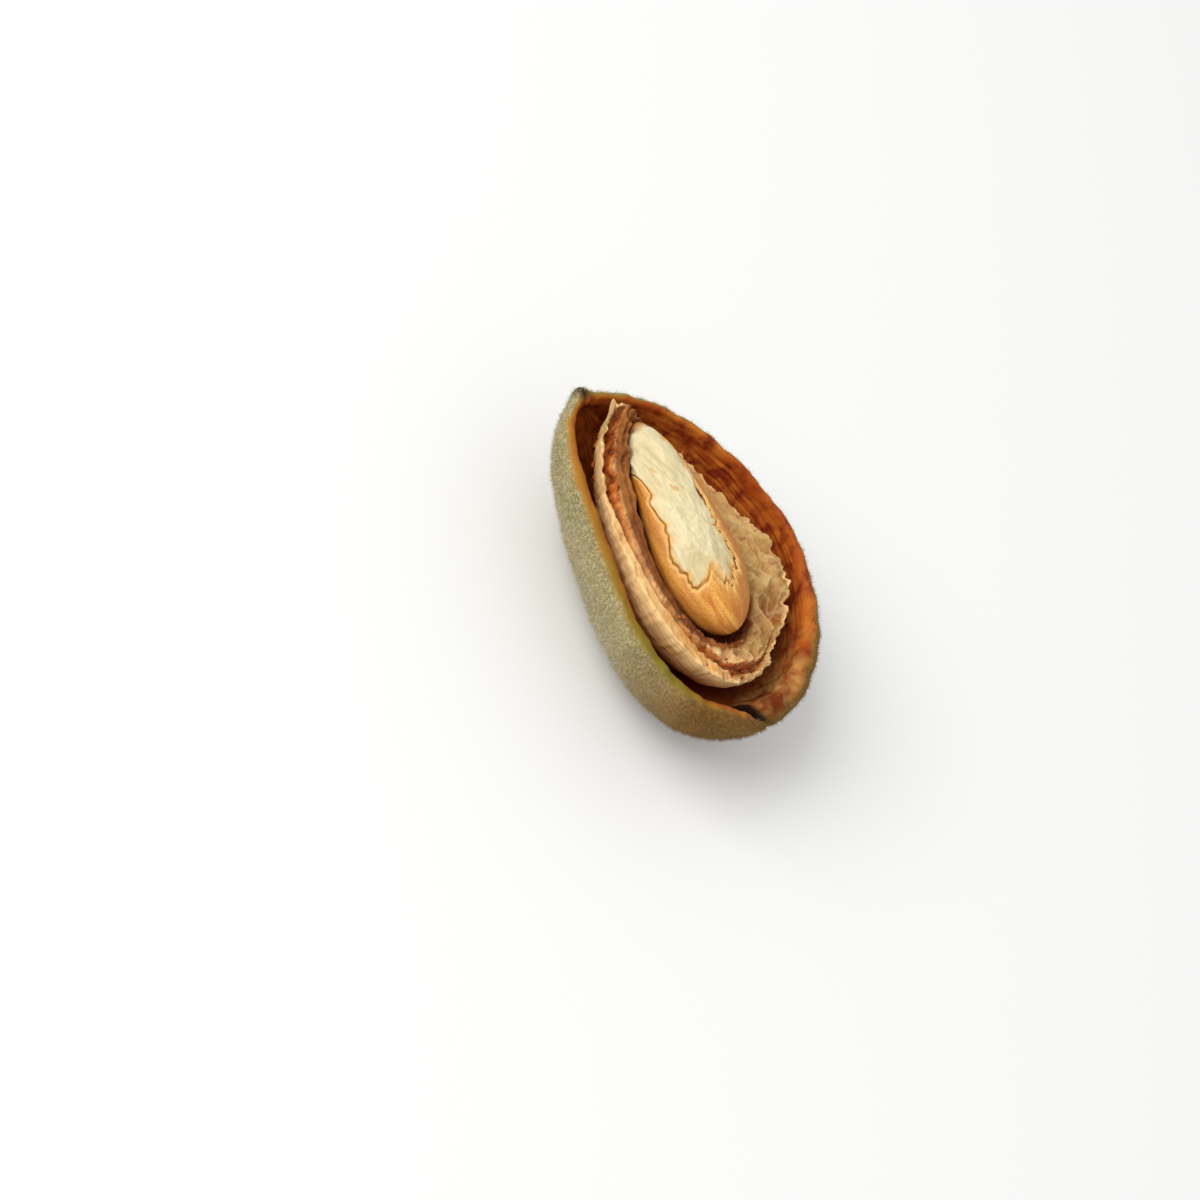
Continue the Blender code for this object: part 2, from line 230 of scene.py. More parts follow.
def husk_surface(around, share):
    _, _, across = cup_walls(share, HUSK_ZONES, 0.0)
    crack, edge_dip = broken_edge(around, across)
    outer_dip, inner_dip, _ = cup_walls(share, HUSK_ZONES, edge_dip)
    outwards = direction(around, outer_dip)
    inwards = direction(around, inner_dip)
    outside = egg(outwards, HUSK_LEFT_WIDTHS, HUSK_RIGHT_WIDTHS, HUSK_REACH, HUSK_DEPTH_TO_WIDTH)
    inside = egg(
        inwards,
        HUSK_LEFT_WIDTHS - HUSK_LEFT_LIP,
        HUSK_RIGHT_WIDTHS - HUSK_RIGHT_LIP,
        HUSK_FLOOR_REACH,
        HUSK_FLOOR_TO_WIDTH,
    )
    points = between(outside, inside, across)
    fibres = along_fibres(points, 12 * MM, 16)
    way = facing(outwards, inwards, across)

    wrap = through_loop(HUSK_WRAP, around)
    worn = across + 0.10 * uneven(points, 1.5 * MM, 4) - 0.4 * rise(outer_dip - edge_dip, 0.0, 0.12)
    coat = 1 - rise(worn, wrap - 0.25, wrap + 0.1)
    lining = rise(worn, *(through_loop(reach, around) for reach in HUSK_LINING))
    torn = bell(around, 174.0, 27.0) * rise(across, 0.1, 0.4) * (1 - rise(inner_dip - edge_dip, 0.2, 0.5))

    inside_only = rise(across, 0.8, 1.0)
    relief = sum(depth * uneven(points, size) for depth, size in COAT_LUMPS) * (1 - 0.5 * inside_only)
    relief += inside_only * sum(depth * uneven(fibres, size) for depth, size in LINING_FIBRES)
    pits = rise(uneven(points, 0.8 * MM, 2), 0.1, 0.35) * bell(around, 318.0, 26.0) * rise(inner_dip, 0.05, 0.2)
    relief -= LINING_PIT * pits
    relief += TORN_SHREDS * torn * uneven(points, 2.2 * MM, 4)
    points += way * relief[:, None]

    near_lip = np.cos(np.maximum(outer_dip, inner_dip) - edge_dip) ** 8
    edge = LIP_WAVE * ragged(around, 4, 2, 5) + 0.12 * MM * ragged(around, 5, 8, 40)
    from_corner = np.minimum(np.minimum(across, 1 - across) / 0.35, 1.0)
    edge -= LIP_ROUNDING * (1 - np.sqrt(1 - (1 - from_corner) ** 2))
    points[:, 2] += edge * near_lip + LIP_CROWN * 4 * across * (1 - across)

    beak = bell(around, 0.0, 5.0) * np.cos(outer_dip) ** 24 * (1 - across)
    points[:, 1] += BEAK_LENGTH * beak
    points[:, 2] += BEAK_RISE * beak
    points[:, 2] = np.maximum(points[:, 2], -SPLIT_MIDDLE[2])

    olive = through_loop([0.3, 0.6, 0.6, 0.6, 0.5, 0.2, 0.0, 0.3, 1.0, 0.6, 0.1, 0.0], around)
    # The stem end's part of the lining's painted shade, where the shell shades the lining.
    stemward = 0.9 * bell(around, 148.0, 42.0)
    marks = {
        "coat": coat,
        "band": (1 - lining) * (1 - 0.9 * torn),
        "olive": olive,
        "torn": torn,
        # Painted shade in the cracks and the lining's pits: near black in the deeper cracks and in the pits.
        "crack": rise(crack, 0.4 * MM, 1.2 * MM) * rise(across, 0.0, 0.2) * near_lip**3 + 0.8 * pits,
        "beak": bell(around, 0.0, 4.0) * np.cos(outer_dip) ** 150 * (1 - rise(across, 0.5, 1.0)),
        # Painted shade on the lining: darker deep in the hollow and at the stem end.
        "painted_lining_shade": np.clip(rise(inner_dip, 0.3, 1.2) + stemward * rise(inner_dip, 0.08, 0.35), 0, 1),
        "fibres": fibres,
    }
    return points, marks


def linear(code):
    """A colour written as on the web, made linear, with full cover."""
    parts = [int(code[place : place + 2], 16) / 255 for place in (1, 3, 5)]
    return (*(part / 12.92 if part <= 0.04045 else ((part + 0.055) / 1.055) ** 2.4 for part in parts), 1.0)


def add_node(tree, kind, inputs=(), **settings):
    """A shader node with its settings. Each input is linked from a socket, or set to a value."""
    made = tree.nodes.new("ShaderNode" + kind)
    for name, value in settings.items():
        setattr(made, name, value)
    for place, value in dict(inputs).items():
        if isinstance(value, bpy.types.NodeSocket):
            tree.links.new(value, made.inputs[place])
        else:
            made.inputs[place].default_value = value
    return made


def new_material(name):
    """An empty material: its node tree, and the surface that its colours go into."""
    material = bpy.data.materials.new(name)
    material.use_nodes = True
    return material, material.node_tree, material.node_tree.nodes["Principled BSDF"]


# Dried fruit coat: matt and leathery, so rough all over. The velvet's nap shows as fine pale grains, and the
# lining as long red-brown fibres about 0.3 mm apart, painted darker as shade deep in the hollow and at the stem
# end.
husk_material, tree, surface = new_material("dried_almond_coat")
place = add_node(tree, "TexCoord").outputs["Object"]
fibres = add_node(tree, "Attribute", attribute_name="fibres").outputs["Vector"]
coat = add_node(tree, "Attribute", attribute_name="coat").outputs["Fac"]
band = add_node(tree, "Attribute", attribute_name="band").outputs["Fac"]
olive = add_node(tree, "Attribute", attribute_name="olive").outputs["Fac"]
torn = add_node(tree, "Attribute", attribute_name="torn").outputs["Fac"]
crack = add_node(tree, "Attribute", attribute_name="crack").outputs["Fac"]
beak = add_node(tree, "Attribute", attribute_name="beak").outputs["Fac"]
painted_lining_shade = add_node(tree, "Attribute", attribute_name="painted_lining_shade").outputs["Fac"]

blotch = add_node(tree, "TexNoise", {"Vector": place, "Scale": 1 / (7 * MM), "Detail": 4.0}).outputs["Fac"]
blotch = add_node(tree, "MapRange", {"Value": blotch, "From Min": 0.4, "From Max": 0.62}).outputs["Result"]
nap = add_node(tree, "TexNoise", {"Vector": place, "Scale": 1 / (0.32 * MM), "Detail": 3.0}).outputs["Fac"]
nap_light = add_node(tree, "MapRange", {"Value": nap, "From Min": 0.45, "From Max": 0.7}).outputs["Result"]
velvet = add_node(
    tree, "Mix", {0: blotch, 6: linear("#857A48"), 7: linear("#9C8D5E")}, data_type="RGBA"
).outputs[2]
velvet = add_node(
    tree, "Mix", {0: nap_light, 6: velvet, 7: linear("#BDB08A")}, data_type="RGBA"
).outputs[2]
length = add_node(tree, "SeparateXYZ", {0: place}).outputs["Y"]
stemward = add_node(
    tree,
    "MapRange",
    {"Value": length, "From Min": -4 * MM, "From Max": -15 * MM},
).outputs["Result"]
bark = add_node(tree, "Mix", {0: blotch, 6: linear("#694618"), 7: linear("#845E28")}, data_type="RGBA").outputs[2]
speck = add_node(tree, "Math", {0: nap_light, 1: 0.4}, operation="MULTIPLY").outputs[0]
bark = add_node(tree, "Mix", {0: speck, 6: bark, 7: linear("#A8884E")}, data_type="RGBA").outputs[2]
velvet = add_node(tree, "Mix", {0: stemward, 6: velvet, 7: bark}, data_type="RGBA").outputs[2]

streak = add_node(tree, "TexNoise", {"Vector": fibres, "Scale": 1 / (0.45 * MM), "Detail": 6.0}).outputs["Fac"]
streak = add_node(tree, "MapRange", {"Value": streak, "From Min": 0.4, "From Max": 0.62}).outputs["Result"]
lining = add_node(
    tree, "Mix", {0: streak, 6: linear("#A04410"), 7: linear("#BE6A20")}, data_type="RGBA"
).outputs[2]
stain = add_node(tree, "TexNoise", {"Vector": place, "Scale": 1 / (1.6 * MM), "Detail": 6.0}).outputs["Fac"]
stain = add_node(tree, "MapRange", {"Value": stain, "From Min": 0.45, "From Max": 0.65}).outputs["Result"]
lining = add_node(tree, "Mix", {0: stain, 6: lining, 7: linear("#7A280A")}, data_type="RGBA").outputs[2]
# Painted shade: the lining darkens deep in the hollow and at the stem end, where the shell shades it.
lining = add_node(tree, "Mix", {0: painted_lining_shade, 6: lining, 7: linear("#6E240B")}, data_type="RGBA").outputs[2]

flesh = add_node(tree, "Mix", {0: olive, 6: linear("#B87820"), 7: linear("#7E7A22")}, data_type="RGBA").outputs[2]
flesh = add_node(tree, "Mix", {0: 0.35, 6: flesh, 7: linear("#6F4A1A")}, data_type="RGBA").outputs[2]
inner = add_node(tree, "Mix", {0: band, 6: lining, 7: flesh}, data_type="RGBA").outputs[2]
shred = add_node(tree, "TexNoise", {"Vector": place, "Scale": 1 / (1.8 * MM), "Detail": 6.0}).outputs["Fac"]
shred = add_node(tree, "MapRange", {"Value": shred, "From Min": 0.4, "From Max": 0.65}).outputs["Result"]
shred = add_node(tree, "Mix", {0: shred, 6: linear("#863A10"), 7: linear("#C0904C")}, data_type="RGBA").outputs[2]
inner = add_node(tree, "Mix", {0: torn, 6: inner, 7: shred}, data_type="RGBA").outputs[2]
colour = add_node(tree, "Mix", {0: coat, 6: inner, 7: velvet}, data_type="RGBA").outputs[2]
# Painted shade: the cracks and pits are coloured near black, as shade in these recesses.
colour = add_node(tree, "Mix", {0: crack, 6: colour, 7: linear("#34180A")}, data_type="RGBA").outputs[2]
colour = add_node(tree, "Mix", {0: beak, 6: colour, 7: linear("#3E3020")}, data_type="RGBA").outputs[2]
tree.links.new(colour, surface.inputs["Base Color"])
roughness = add_node(tree, "MapRange", {"Value": coat, "To Min": 0.6, "To Max": 0.95}).outputs["Result"]
tree.links.new(roughness, surface.inputs["Roughness"])
grain = add_node(tree, "TexNoise", {"Vector": fibres, "Scale": 1 / (0.3 * MM), "Detail": 4.0}).outputs["Fac"]
grain = add_node(tree, "Mix", {0: coat, 2: grain, 3: nap}, data_type="FLOAT").outputs[0]
bump = add_node(tree, "Bump", {"Height": grain, "Distance": 0.25 * MM, "Strength": 1.0})
tree.links.new(bump.outputs["Normal"], surface.inputs["Normal"])
surface.inputs["Specular IOR Level"].default_value = 0.14

husk_form, husk_marks = shaped_sphere(HUSK_DIVISIONS, husk_surface)
husk = add_piece("husk_coat", husk_form, husk_marks, husk_material)
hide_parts("husk")


# The fuzz on the husk: short silvery plant hairs, one to a pore, on the outside and along the lip's outer edge.
# Each is a tapered needle, rooted in the coat and leaning its own way.

HAIR_COUNT = 46000
HAIR_LENGTH = (0.2 * MM, 0.65 * MM)
HAIR_WIDTH = (0.016 * MM, 0.03 * MM)
HAIR_LEAN = 0.9
HAIR_FLOOR = 0.1 * MM

random = np.random.default_rng(11)
husk.data.calc_loop_triangles()
corners = np.array([triangle.vertices for triangle in husk.data.loop_triangles])
spots = np.array([vertex.co for vertex in husk.data.vertices])
on_coat = husk_marks["coat"][corners].min(axis=1) > 0.5
triangles = spots[corners[on_coat]]
crossed = np.cross(triangles[:, 1] - triangles[:, 0], triangles[:, 2] - triangles[:, 0])
area = np.linalg.norm(crossed, axis=1)
chosen = random.choice(len(area), HAIR_COUNT, p=area / area.sum())
first, second = random.random((2, HAIR_COUNT, 1))
folded = first + second > 1
first = np.where(folded, 1 - first, first)
second = np.where(folded, 1 - second, second)
a, b, c = triangles[chosen].transpose(1, 0, 2)
roots = a + first * (b - a) + second * (c - a)
ways = crossed[chosen] / area[chosen][:, None]
ways = ways + HAIR_LEAN * random.normal(0.0, 0.6, (HAIR_COUNT, 3))
ways /= np.linalg.norm(ways, axis=1)[:, None]
lengths = random.uniform(*HAIR_LENGTH, (HAIR_COUNT, 1))
tips = roots + ways * lengths
clear = np.minimum(tips[:, 2], roots[:, 2]) > HAIR_FLOOR
roots, ways, lengths = roots[clear], ways[clear], lengths[clear]
widths = random.uniform(*HAIR_WIDTH, (len(roots), 1))



def needles(roots, ways, lengths, widths):
    """The points and faces of tapered three-sided needles, each rooted at a point and drawn out one way."""
    form = bmesh.new()
    bmesh.ops.create_cone(form, cap_ends=True, segments=3, radius1=1.0, radius2=0.0, depth=1.0)
    corner_at = np.array([vertex.co for vertex in form.verts])
    corners_of = np.array([[vertex.index for vertex in face.verts] for face in form.faces])
    form.free()
    sideways = np.cross(ways, [0.31, 0.57, 0.76])
    sideways /= np.linalg.norm(sideways, axis=1)[:, None]
    upright = np.cross(ways, sideways)
    points = roots[:, None] + corner_at[None, :, :1] * (sideways * widths)[:, None]
    points += corner_at[None, :, 1:2] * (upright * widths)[:, None]
    points += (corner_at[None, :, 2:] + 0.4) * (ways * lengths)[:, None]
    faces = corners_of[None] + len(corner_at) * np.arange(len(roots))[:, None, None]
    return points.reshape(-1, 3), faces.reshape(-1, 3)


def add_needles(name, roots, ways, lengths, widths, material):
    """A piece of many needles, each with a tone of its own from 0 to 1."""
    points, faces = needles(roots, ways, lengths, widths)
    mesh = bpy.data.meshes.new(name)
    mesh.from_pydata(points.tolist(), [], faces.tolist())
    mesh.materials.append(material)
    tones = np.repeat(random.random(len(roots)), len(points) // len(roots))
    mesh.attributes.new("tone", "FLOAT", "POINT").data.foreach_set("value", tones.astype(np.float32))
    piece = bpy.data.objects.new(name, mesh)
    bpy.context.scene.collection.objects.link(piece)
    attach(piece, "root")


fuzz_material, tree, surface = new_material("silver_plant_hair")
tone = add_node(tree, "Attribute", attribute_name="tone").outputs["Fac"]
colour = add_node(tree, "Mix", {0: tone, 6: linear("#958B68"), 7: linear("#DDD6C0")}, data_type="RGBA").outputs[2]
place = add_node(tree, "TexCoord").outputs["Object"]
length = add_node(tree, "SeparateXYZ", {0: place}).outputs["Y"]
stemward = add_node(
    tree, "MapRange", {"Value": length, "From Min": -4 * MM, "From Max": -16 * MM, "To Max": 0.9}
).outputs["Result"]
colour = add_node(tree, "Mix", {0: stemward, 6: colour, 7: linear("#8A6830")}, data_type="RGBA").outputs[2]
tree.links.new(colour, surface.inputs["Base Color"])
surface.inputs["Roughness"].default_value = 0.7
surface.inputs["Specular IOR Level"].default_value = 0.2
add_needles("husk_fuzz", roots, ways, lengths, widths, fuzz_material)


# The shell: the stone's broken half, a light spongy wood. Two papery walls with a fibrous channel between them
# show on the left, and on the right the broken edge spreads into a wide torn flange. It sits loose in the husk.

SHELL_CENTRE = np.array([0.45, 0.2, 0.0]) * MM
SHELL_TURN = 8.0
SHELL_REACH = (18.0 * MM, 15.0 * MM)
SHELL_LEFT_WIDTHS = np.array([6.4, 7.8, 8.6, 9.6, 10.5, 12.1]) * MM
SHELL_RIGHT_WIDTHS = np.array([6.0, 8.7, 10.6, 13.0, 12.8, 11.6]) * MM
SHELL_DEPTH_TO_WIDTH = 0.81
HOLLOW_CENTRE = np.array([1.6, 2.9, 0.0]) * MM
HOLLOW_TURN = 11.7
HOLLOW_REACH = (13.75 * MM, 13.35 * MM)
HOLLOW_LEFT_WIDTHS = np.array([5.6, 6.1, 6.6, 7.8, 8.5, 8.9]) * MM
HOLLOW_RIGHT_WIDTHS = np.array([5.6, 5.7, 5.8, 7.1, 8.3, 8.9]) * MM
HOLLOW_DEPTH_TO_WIDTH = 0.7
SHELL_ZONES = (0.27, 0.73)
SHELL_DIVISIONS = (125, 49)
SHELL_OUTER_EDGE = np.array([1.3, -0.9, -1.5, -0.6, -0.5, -0.5, 0.3, 1.3, 1.8, 1.2, 0.3, 0.8]) * MM
SHELL_INNER_EDGE = np.array([0.6, -1.3, -2.0, -1.9, -1.8, -1.3, -0.5, 0.6, 1.1, 0.9, 0.3, 0.6]) * MM
SHELL_CHANNEL = np.array([0.8, 0.0, 0.0, 0.0, 0.0, 0.4, 1.7, 1.4, 0.9, 1.1, 2.1, 2.0]) * MM
SHELL_RAG = np.array([0.6, 0.45, 0.4, 0.5, 0.45, 0.5, 0.35, 0.2, 0.15, 0.3, 0.4, 0.5]) * MM
FLANGE = [0.0, 0.1, 0.35, 0.9, 1.0, 1.0, 0.7, 0.0, 0.0, 0.0, 0.0, 0.0]
CHUNKS = [0.2, 0.0, 0.0, 0.0, 0.0, 0.3, 0.9, 0.6, 0.2, 0.2, 0.2, 0.3]
CHANNEL_START = [0.15, 0.2, 0.2, 0.15, 0.12, 0.12, 0.14, 0.36, 0.52, 0.45, 0.15, 0.12]
CHANNEL_END = [0.6, 0.6, 0.5, 0.4, 0.3, 0.3, 0.46, 0.64, 0.68, 0.64, 0.62, 0.62]
# Round the hollow from the tip, every 30 degrees: how much painted shade darkens its wall.
HOLLOW_SHADE = [0.1, 0.4, 0.7, 0.8, 0.8, 0.7, 0.5, 0.5, 0.6, 0.45, 0.15, 0.1]
SPONGE = [0.7, 0.0, 0.0, 0.0, 0.0, 0.3, 0.9, 0.6, 0.3, 0.4, 1.0, 1.0]
LAMELLAE = [0.8, 0.2, 0.0, 0.0, 0.0, 0.0, 0.0, 0.1, 0.2, 0.4, 0.9, 1.0]
INNER_DROP = [0.2, 0.1, 0.0, 0.0, 0.0, 0.1, 0.2, 0.3, 0.4, 0.5, 0.4, 0.3]
HOLLOW_START = [0.62, 0.7, 0.8, 0.86, 0.88, 0.88, 0.82, 0.72, 0.7, 0.66, 0.66, 0.62]
INNER_LEAN = [0.4, 0.1, 0.0, 0.0, 0.0, 0.1, 0.4, 0.9, 1.4, 1.7, 1.9, 1.5]
OUTER_LEAN = [0.0, 0.0, 0.0, 0.0, 0.2, 1.2, 0.3, 0.0, 0.0, 0.0, 0.0, 0.0]


def placed(points, centre, turn):
    """Points turned clockwise, seen from above, by degrees, and moved to the centre."""
    cosine = np.cos(np.radians(turn))
    sine = np.sin(np.radians(turn))
    x, y, z = points.T
    return np.stack([cosine * x + sine * y, cosine * y - sine * x, z], axis=-1) + centre


def valley(across, start, end, slope):
    """1 between start and end across the rim, 0 beyond them, with walls of this slope."""
    return rise(across, start, start + slope) - rise(across, end - slope, end)


def shell_surface(around, share):
    outer_dip, inner_dip, across = cup_walls(share, SHELL_ZONES, 0.0)
    outwards = direction(around, outer_dip)
    inwards = direction(around, inner_dip)
    outside = egg(outwards, SHELL_LEFT_WIDTHS, SHELL_RIGHT_WIDTHS, SHELL_REACH, SHELL_DEPTH_TO_WIDTH)
    outside = placed(outside, SHELL_CENTRE, SHELL_TURN)
    inside = egg(inwards, HOLLOW_LEFT_WIDTHS, HOLLOW_RIGHT_WIDTHS, HOLLOW_REACH, HOLLOW_DEPTH_TO_WIDTH)
    inside = placed(inside, HOLLOW_CENTRE, HOLLOW_TURN)
    points = between(outside, inside, across)
    fibres = along_fibres(points, 8 * MM, 7)
    way = facing(outwards, inwards, across)

    rim = rise(across, 0.0, 0.05) * (1 - rise(across, 0.95, 1.0))
    rag = through_loop(SHELL_RAG, around)
    flange = np.clip(through_loop(FLANGE, around), 0, 1) * rim
    chunks = np.clip(through_loop(CHUNKS, around), 0, 1) * rim
    depth = np.maximum(through_loop(SHELL_CHANNEL, around), 0.0)
    wander = across + 0.08 * uneven(on_rim(around, across, 1, 3 * MM), 1.6 * MM, 4)
    channel = valley(
        wander, through_loop(CHANNEL_START, around), through_loop(CHANNEL_END, around), 0.07
    )
    lamella = valley(wander, 0.78, 0.9, 0.05) * np.clip(through_loop(LAMELLAE, around), 0, 1)
    sponge = np.clip(channel * depth / MM, 0, 1)
    channel_end = through_loop(CHANNEL_END, around)
    broken = rise(wander, through_loop(CHANNEL_START, around), through_loop(CHANNEL_START, around) + 0.04)
    broken *= (1 - rise(wander, channel_end, channel_end + 0.06)) * through_loop(SPONGE, around)

    coarse = uneven(points, 1.6 * MM, 4)
    fine = uneven(points, 0.45 * MM, 3)
    folds = 1 - 3 * np.abs(uneven(on_rim(around, across, 1.4, 4 * MM), 3.2 * MM, 3))
    tooth = uneven(on_rim(around, 0 * across, 1, 0), 1.1 * MM, 5)
    outer_ridge = np.clip(1.0 - across / 0.3, 0.0, 1.0)
    inner_ridge = np.clip(1.0 - (1.0 - across) / 0.3, 0.0, 1.0)
    edge = through_loop(SHELL_OUTER_EDGE, around) * (1 - across)
    edge += through_loop(SHELL_INNER_EDGE, around) * across
    edge += rag * (0.5 * ragged(around, 21, 9, 40) + 1.3 * tooth) * outer_ridge
    edge += rag * ragged(around, 22, 9, 40) * inner_ridge
    edge -= depth * channel + 0.5 * MM * lamella
    edge -= through_loop(INNER_DROP, around) * MM * rise(across, 0.75, 1.0)
    detail = broken * MM * (0.6 * coarse + 0.3 * (1 - 3 * np.abs(fine)))
    crease = 1 - rise(np.abs(uneven(on_rim(around, across, 1.2, 4 * MM), 2.6 * MM, 3)), 0.0, 0.10)
    detail += flange * (0.5 * MM * folds + 0.10 * MM * crease + 0.11 * MM * fine)
    shards = 1 - 3 * np.abs(uneven(points, 2.0 * MM, 3))
    detail += chunks * (0.5 * MM * shards + 0.1 * MM * fine)
    near_rim = np.cos(np.maximum(outer_dip, inner_dip)) ** 2
    spike = 0.7 * MM * bell(around, 348.0, 2.5) * (1 - rise(across, 0.1, 0.3))
    spike += 0.8 * MM * bell(around, 356.0, 3.0) * rise(across, 0.5, 0.7)
    spike *= np.cos(np.maximum(outer_dip, inner_dip)) ** 12
    points[:, 2] += edge * near_rim + detail * near_rim**6 + spike
    points[:, 1] += spike

    skin = 0.05 * MM * uneven(fibres, 0.5 * MM) + 0.08 * MM * uneven(points, 1.5 * MM)
    skin += 0.1 * MM * uneven(fibres, 0.8 * MM, 4) * rise(across, 0.8, 1.0)
    points += way * (skin * (1 - rim))[:, None]
    nibbled = uneven(on_rim(around, 0 * across, 1, 0), 0.5 * MM, 3)
    shift = rag * (tooth + 0.6 * nibbled) * outer_ridge * np.cos(outer_dip) ** 6
    shift -= through_loop(INNER_LEAN, around) * MM * rise(across, 0.5, 1.0) * np.cos(inner_dip) ** 4
    shift -= through_loop(OUTER_LEAN, around) * MM * (1 - rise(across, 0.0, 0.5)) * np.cos(outer_dip) ** 4
    points += direction(around, 0 * around) * shift[:, None]

    rim_edge = np.clip(1 - across / 0.08, 0, 1) * np.cos(outer_dip) ** 80
    inner_line = 0.8 * valley(wander, channel_end + 0.02, channel_end + 0.12, 0.04) * through_loop(SPONGE, around)
    hollow_start = np.clip(through_loop(HOLLOW_START, around), 0.0, 0.95)
    marks = {
        "outer": 1 - rise(across, 0.0, 0.06),
        "hollow": rise(across, hollow_start - 0.05, hollow_start + 0.05),
        "sponge": np.clip(broken + 0.6 * chunks * rise(-shards, 0.0, 0.4), 0, 1),
        "flange": flange,
        # Painted shade: the flange's colour is darker lower in its folds.
        "painted_fold_shade": np.clip(0.5 + 0.5 * folds + 0.3 * fine, 0, 1),
        "crease": 0.35 * crease * flange,
        "edge": np.clip(rim_edge + inner_line, 0, 1),
        # Painted shade in the hollow: darker towards its bottom, and by the listed amounts round it.
        "painted_hollow_shade": np.clip(rise(inner_dip, 0.0, 0.7) + through_loop(HOLLOW_SHADE, around), 0, 1),
        "torn_edge": rim_edge * np.clip(through_loop(FLANGE, around) + 0.2, 0, 1),
        "stem_end": bell(around, 205.0, 25.0),
        "fibres": fibres,
    }
    return points, marks


# Almond shell: soft pale wood, matt. Its skin is tan and faintly streaked, the broken sponge is orange-brown,
# the flange is straw coloured with red-brown stains and painted shade low in its folds, and the hollow is a
# smooth dark brown, painted darker still as shade towards its bottom and round its sides.
shell_material, tree, surface = new_material("almond_shell")
place = add_node(tree, "TexCoord").outputs["Object"]
fibres = add_node(tree, "Attribute", attribute_name="fibres").outputs["Vector"]
outer = add_node(tree, "Attribute", attribute_name="outer").outputs["Fac"]
hollow = add_node(tree, "Attribute", attribute_name="hollow").outputs["Fac"]
sponge = add_node(tree, "Attribute", attribute_name="sponge").outputs["Fac"]
flange = add_node(tree, "Attribute", attribute_name="flange").outputs["Fac"]
painted_fold_shade = add_node(tree, "Attribute", attribute_name="painted_fold_shade").outputs["Fac"]
crease = add_node(tree, "Attribute", attribute_name="crease").outputs["Fac"]
edge = add_node(tree, "Attribute", attribute_name="edge").outputs["Fac"]
painted_hollow_shade = add_node(tree, "Attribute", attribute_name="painted_hollow_shade").outputs["Fac"]

streak = add_node(
    tree, "TexNoise", {"Vector": fibres, "Scale": 1 / (0.7 * MM), "Detail": 6.0, "Roughness": 0.7}
).outputs["Fac"]
streak = add_node(tree, "MapRange", {"Value": streak, "From Min": 0.35, "From Max": 0.65}).outputs["Result"]
colour = add_node(tree, "Mix", {0: streak, 6: linear("#D69A50"), 7: linear("#F6D094")}, data_type="RGBA").outputs[2]
patch = add_node(
    tree, "TexNoise", {"Vector": place, "Scale": 1 / (2.2 * MM), "Detail": 8.0, "Roughness": 0.7}
).outputs["Fac"]
patch = add_node(tree, "MapRange", {"Value": patch, "From Min": 0.4, "From Max": 0.6}).outputs["Result"]
straw = add_node(tree, "Mix", {0: patch, 6: linear("#AA8448"), 7: linear("#CFA868")}, data_type="RGBA").outputs[2]
# Painted shade low in the flange's folds.
straw = add_node(tree, "Mix", {0: painted_fold_shade, 6: linear("#9A6430"), 7: straw}, data_type="RGBA").outputs[2]
spots = add_node(tree, "TexNoise", {"Vector": place, "Scale": 1 / (1.1 * MM), "Detail": 3.0}).outputs["Fac"]
spots = add_node(
    tree, "MapRange", {"Value": spots, "From Min": 0.56, "From Max": 0.68, "To Max": 0.8}
).outputs["Result"]
straw = add_node(tree, "Mix", {0: spots, 6: straw, 7: linear("#8A3E14")}, data_type="RGBA").outputs[2]
colour = add_node(tree, "Mix", {0: flange, 6: colour, 7: straw}, data_type="RGBA").outputs[2]
cells = add_node(tree, "TexNoise", {"Vector": place, "Scale": 1 / (1.0 * MM), "Detail": 5.0}).outputs["Fac"]
dark = add_node(tree, "MapRange", {"Value": cells, "From Min": 0.36, "From Max": 0.52}).outputs["Result"]
pale = add_node(
    tree, "MapRange", {"Value": cells, "From Min": 0.54, "From Max": 0.66, "To Max": 0.8}
).outputs["Result"]
fluff = add_node(tree, "Mix", {0: dark, 6: linear("#6A2207"), 7: linear("#CC6A22")}, data_type="RGBA").outputs[2]
fluff = add_node(tree, "Mix", {0: pale, 6: fluff, 7: linear("#DFA45C")}, data_type="RGBA").outputs[2]
colour = add_node(tree, "Mix", {0: sponge, 6: colour, 7: fluff}, data_type="RGBA").outputs[2]
colour = add_node(tree, "Mix", {0: crease, 6: colour, 7: linear("#E6CE98")}, data_type="RGBA").outputs[2]
colour = add_node(tree, "Mix", {0: edge, 6: colour, 7: linear("#F0C88A")}, data_type="RGBA").outputs[2]
wall = add_node(tree, "Mix", {0: streak, 6: linear("#7A3C14"), 7: linear("#B07232")}, data_type="RGBA").outputs[2]
# Painted shade: the hollow's wall is coloured darker towards its bottom and round its sides.
shaded_wall = add_node(
    tree, "Mix", {0: streak, 6: linear("#481606"), 7: linear("#863C14")}, data_type="RGBA"
).outputs[2]
wall = add_node(tree, "Mix", {0: painted_hollow_shade, 6: wall, 7: shaded_wall}, data_type="RGBA").outputs[2]
colour = add_node(tree, "Mix", {0: hollow, 6: colour, 7: wall}, data_type="RGBA").outputs[2]
tree.links.new(colour, surface.inputs["Base Color"])
roughness = add_node(tree, "MapRange", {"Value": hollow, "To Min": 0.8, "To Max": 0.62}).outputs["Result"]
tree.links.new(roughness, surface.inputs["Roughness"])
grain = add_node(tree, "TexNoise", {"Vector": fibres, "Scale": 1 / (0.25 * MM), "Detail": 4.0}).outputs["Fac"]
bump = add_node(tree, "Bump", {"Height": grain, "Distance": 0.14 * MM, "Strength": 1.0})
tree.links.new(bump.outputs["Normal"], surface.inputs["Normal"])
surface.inputs["Specular IOR Level"].default_value = 0.25

